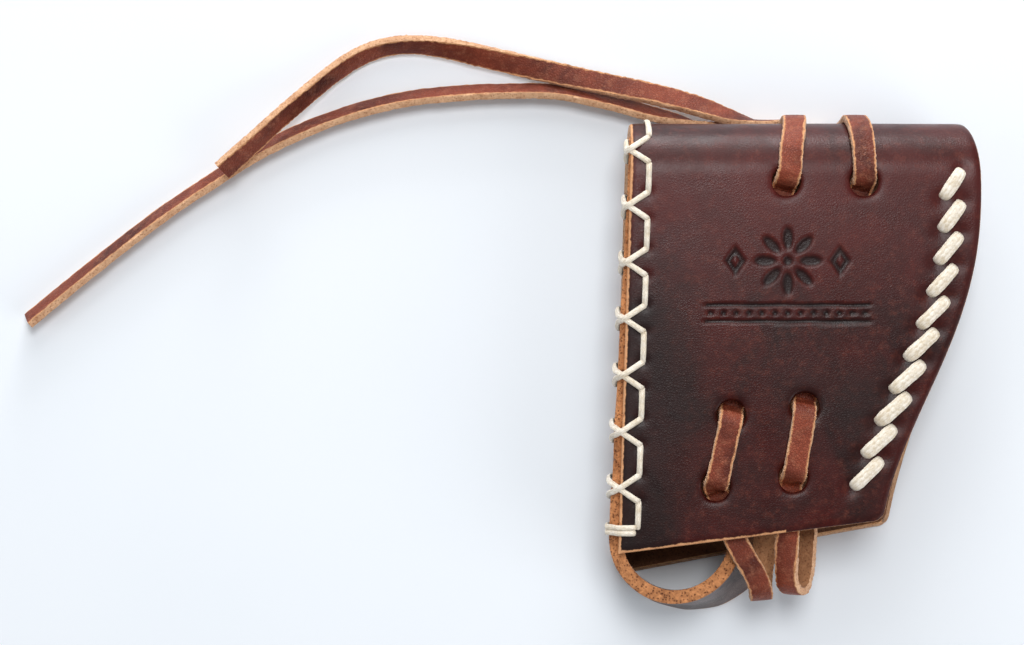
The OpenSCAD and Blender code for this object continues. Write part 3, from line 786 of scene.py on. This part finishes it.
def flat_row(p, z, e):
    """Row at p and level z for a strap that lies flat and runs along e: its width points across e."""
    return [p[0], p[1], z, e[1], -e[0], 0]


def pierce(p, a, b, z0, z1):
    """Rows through the hole at p, from level z0 with heading a to level z1 with heading b."""
    p, a, b, dz = np.array(p), np.array(a), np.array(b), math.copysign(1, z1 - z0)
    return [flat_row(p - 3.4 * a, z0, a), flat_row(p - 1.4 * a, z0 + dz * 0.3, a), flat_row(p - 0.3 * a,
        z0 + dz * 1.7, a),
            flat_row(p + 0.3 * b, z1 - dz * 1.7, b), flat_row(p + 1.4 * b, z1 - dz * 0.3, b),
            flat_row(p + 3.4 * b, z1, b)]


def fold_row(x, degrees):
    """Row on the circle round the fold, the given angle back from the front's face."""
    a = math.radians(degrees)
    return [x, FOLD_Y + WRAP_R * math.sin(a), BEND_R + WRAP_R * math.cos(a), 1, 0, 0]


def threaded(start, lower, middle, upper, over):
    """Rows through the lower, middle and upper hole of one side, and on towards over."""
    start, lower, middle, upper, over = (np.array(p, float) for p in (start, lower, middle, upper, over))
    a, b, c, d = unit(lower - start), unit(middle - lower), unit(upper - middle), unit(over - upper)
    return (pierce(lower, a, b, IN_Z, OUT_Z) + pierce(middle, b, c, OUT_Z, IN_Z)
            + [flat_row((middle + upper) / 2, IN_Z, c)] + pierce(upper, c, d, IN_Z, OUT_Z))


def make_lace(name, rows, seed, node):
    """A flat strap cut by hand: a box section with rounded edges whose width wanders and whose cut
    edges are ragged. The grain face is the one the rows' width direction puts outside."""
    crown = [0.94, 1.0, 1.0, 1.0, 0.94]
    across = np.array(crown + [0.7, 0.35, 0, -0.35, -0.7] + [-c for c in crown] + [-0.7, -0.35, 0, 0.35,
        0.7])
    out = np.array([-1, -0.62, 0, 0.62, 1, 1.06, 1.09, 1.1, 1.09, 1.06, 1, 0.62, 0, -0.62, -1, -1, -1, -1,
                    -1, -1.0])
    s = lengths(rows)
    width = LACE_W / 2 * (1 + 0.035 * drift(s, 30, seed)[:, 0] + 0.02 * drift(s, 7, seed + 1)[:, 0])
    r = np.random.default_rng(seed)
    ragged = r.normal(0, 0.085, (len(s), 20)) * (np.abs(across) > 0.9)
    shape = np.stack([width[:, None] * across + ragged * np.sign(across),
                      LACE_T / 2 * 0.96 * out + r.normal(0, 0.012, (len(s), 20))], -1)
    points, faces = swept(rows, shape)
    column = np.array([f[0] for f in faces[:-2]]) % 20
    kinds = np.concatenate([np.select([column < 4, column < 10, column < 14], [1, 0, 1], 2), [1, 1]])
    edge = np.broadcast_to(np.where(np.abs(across) > 0.9, 0.95, np.where(np.abs(across) > 0.6, 0.4, 0.0)),
                           (len(s), 20))
    return piece(name, points, faces, kinds, [lace_grain, lace_raw, lace_flesh], node,
                 {"edge": edge})


upper_tail = make_lace("upper_tail", upper_rows, 71, "lace_tail_upper")
lower_tail = make_lace("lower_tail", lower_rows, 72, "lace_tail_lower")

bend_left, bend_right = (-11.0, -49.0), (0.9, -45.5)
over_left, over_right = (3.3, TOP_Y), (17.6, TOP_Y)
bend_low, bend_z = LOW_Y - 11, IN_Z - 9.8
left_rows = (
    [[-3.5, -45.5, bend_z, 1, 0, 0], [-3.8, -53, bend_z, 1, 0, 0], [-4.3, bend_low + 4, bend_z + 0.2, 1,
        0, 0],
     [-4.7, bend_low + 0.6, bend_z + 2.4, 1, 0.1, 0], [-4.9, bend_low, bend_z + 5.2, 1, 0.1, 0],
     [-5.4, bend_low + 2, IN_Z - 1.2, 1, 0.3, 0], [-7, bend_low + 6, IN_Z - 0.1, 0.93, 0.36, 0],
     [*bend_left, IN_Z, 0.93, 0.36, 0]]
    + threaded(bend_left, LOWER_LEFT, MIDDLE_LEFT, UPPER_LEFT, over_left)
    + [fold_row(1.2, 26), fold_row(2.1, 46), fold_row(2.8, 67), fold_row(3.3, 88),
       [3.0, 51.1, 8.6, 0.97, 0, -0.25], [1.2, 51.3, 6.3, 0.7, 0.1, -0.7], [-1.8, 51.2, 5.5, 0.2, 0.15,
           -0.97],
       [-5.0, 51.3, 5.4, 0, 0.17, -0.98], upper_rows[3].tolist()])
tilt = (0.82, 0, 0.57)
right_rows = (
    [[6.3, -44.5, bend_z + 2.4, *tilt], [5.8, -53, bend_z + 2.4, *tilt], [5.3, bend_low + 5.4,
        bend_z + 2.4, *tilt],
     [4.6, bend_low + 2.6, bend_z + 3.4, *tilt], [3, bend_low + 1.4, bend_z + 5.7, *tilt],
     [1.4, bend_low + 2.6, bend_z + 8, *tilt], [0.7, bend_low + 5.4, bend_z + 9, *tilt],
     [0.7, -49.5, IN_Z - 0.5, 0.97, 0, 0.2], [*bend_right, IN_Z, 1, 0, 0]]
    + threaded(bend_right, LOWER_RIGHT, MIDDLE_RIGHT, UPPER_RIGHT, over_right)
    + [fold_row(18.0, 26), fold_row(17.9, 46), fold_row(17.7, 67), fold_row(17.6, 90), fold_row(17.4, 112),
       [16.4, 49, 3.3, 0.85, -0.4, 0], [13, 48.8, 1.5, 0.4, -0.9, -0.05], [8.6, 48.8, 1.25, 0, -1, 0],
       lower_rows[2].tolist()])
make_lace("left_lace", through(left_rows, 9), 73, "lace_left")
make_lace("right_lace", through(right_rows, 9), 74, "lace_right")

make_hide()
make_strip()
make_edge_thread()
make_saddle_thread()

# ---- floor and light ----


def make_floor():
    """A flat pale sheet just under the object, fine-grained so that it isn't one flat colour."""
    made, tree, shader, place = finish("pale floor", 0.75, 0.2)
    patch = noise(tree, place, 9.0, 2.0)
    tree.links.new(blend(tree, patch, tone("eaf0f6"), tone("f1f5fa")), shader.inputs["Base Color"])
    mesh = bpy.data.meshes.new("floor")
    reach, level = 1.5, -0.0002
    mesh.from_pydata([(-reach, -reach, level), (reach, -reach, level), (reach, reach, level), (-reach,
        reach, level)],
                     [], [[0, 1, 2, 3]])
    mesh.materials.append(made)
    floor = bpy.data.objects.new("floor", mesh)
    bpy.context.collection.objects.link(floor)


def light(name, place, aim, size, power, colour):
    """A square soft light at place, turned towards aim."""
    lamp = bpy.data.lights.new(name, "AREA")
    lamp.shape, lamp.size, lamp.energy, lamp.color = "SQUARE", size, power, colour
    made = bpy.data.objects.new(name, lamp)
    made.location = place
    way = np.array(aim, float) - np.array(place, float)
    across = math.atan2(way[1], way[0])
    made.rotation_euler = (math.atan2(math.hypot(way[0], way[1]), -way[2]), 0, across - math.pi / 2)
    bpy.context.collection.objects.link(made)


make_floor()
light("top", (0.0, 0.32, 0.93), (-0.03, 0, 0), 0.35, 4.7, (1.0, 1.0, 1.0))
light("key", (-0.1, 0.85, 0.5), (-0.02, 0, 0), 0.6, 3.4, (1.0, 0.99, 0.98))
light("low", (0.0, 0.9, 0.13), (0.0, 0.03, 0.01), 0.3, 5.0, (0.98, 0.99, 1.0))
light("left", (-0.95, -0.1, 0.5), (-0.05, 0, 0), 0.7, 1.8, (0.98, 0.99, 1.0))
light("right", (0.85, -0.5, 0.5), (0.0, 0, 0), 0.8, 4.3, (0.99, 0.99, 1.0))
world = bpy.data.worlds.new("studio")
world.use_nodes = True
world.node_tree.nodes["Background"].inputs["Color"].default_value = (0.93, 0.96, 1.0, 1.0)
world.node_tree.nodes["Background"].inputs["Strength"].default_value = 0.26
bpy.context.scene.world = world
bpy.context.scene.view_settings.view_transform = "Standard"
